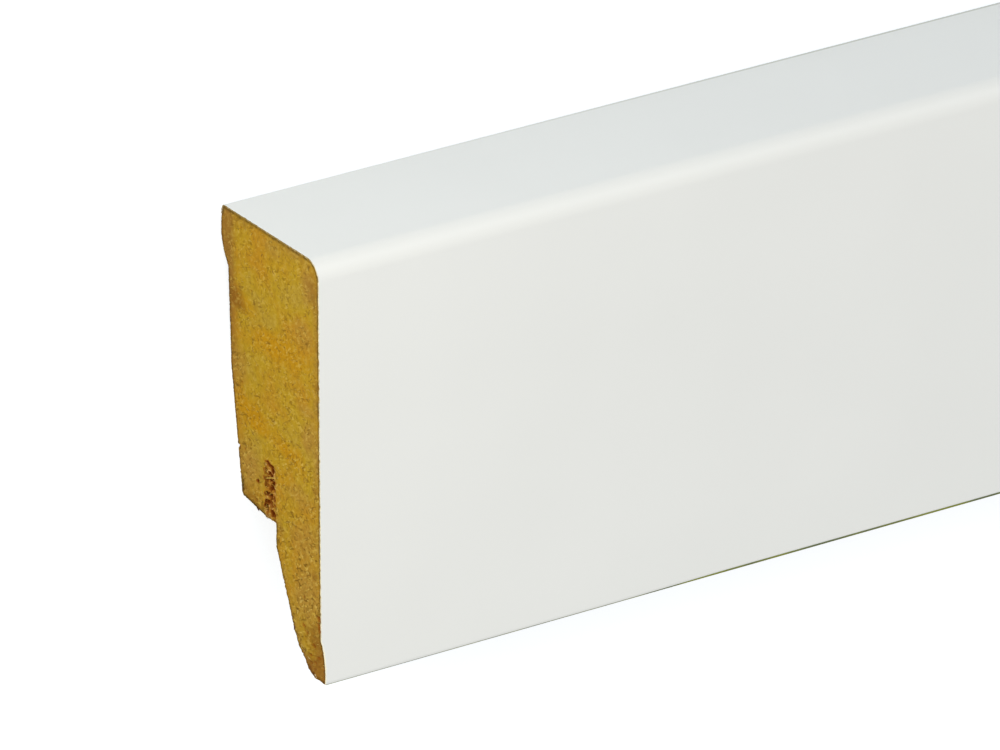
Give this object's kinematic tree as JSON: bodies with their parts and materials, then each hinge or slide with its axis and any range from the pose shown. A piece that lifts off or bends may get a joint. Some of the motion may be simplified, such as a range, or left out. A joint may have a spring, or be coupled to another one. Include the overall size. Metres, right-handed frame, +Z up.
{
  "type": "skirting board length",
  "caption": "Length of clip-on skirting board: moulded fibreboard with a white foil face, rounded top edge, wall lip, clip groove and tapered toe.",
  "frame": {"origin": "on the floor under the board, at the middle of its length and of its width as it lies", "axes": "+X along the board, away from the end that shows; +Y across it as it lies, from the toe to the top edge; +Z up, out of the show face, which slopes 7.7 degrees down to the toe"},
  "size_m": [2.4, 0.0604, 0.0231],
  "materials": {
    "fibreboard": "raw medium-density fibreboard, milled along the board and sawn at its ends",
    "decor_foil": "smooth white satin decor foil, wrapped and glued"
  },
  "bodies": {
    "root": {"fibreboard_core": "fibreboard", "white_foil": "decor_foil"}
  },
  "joints": []
}
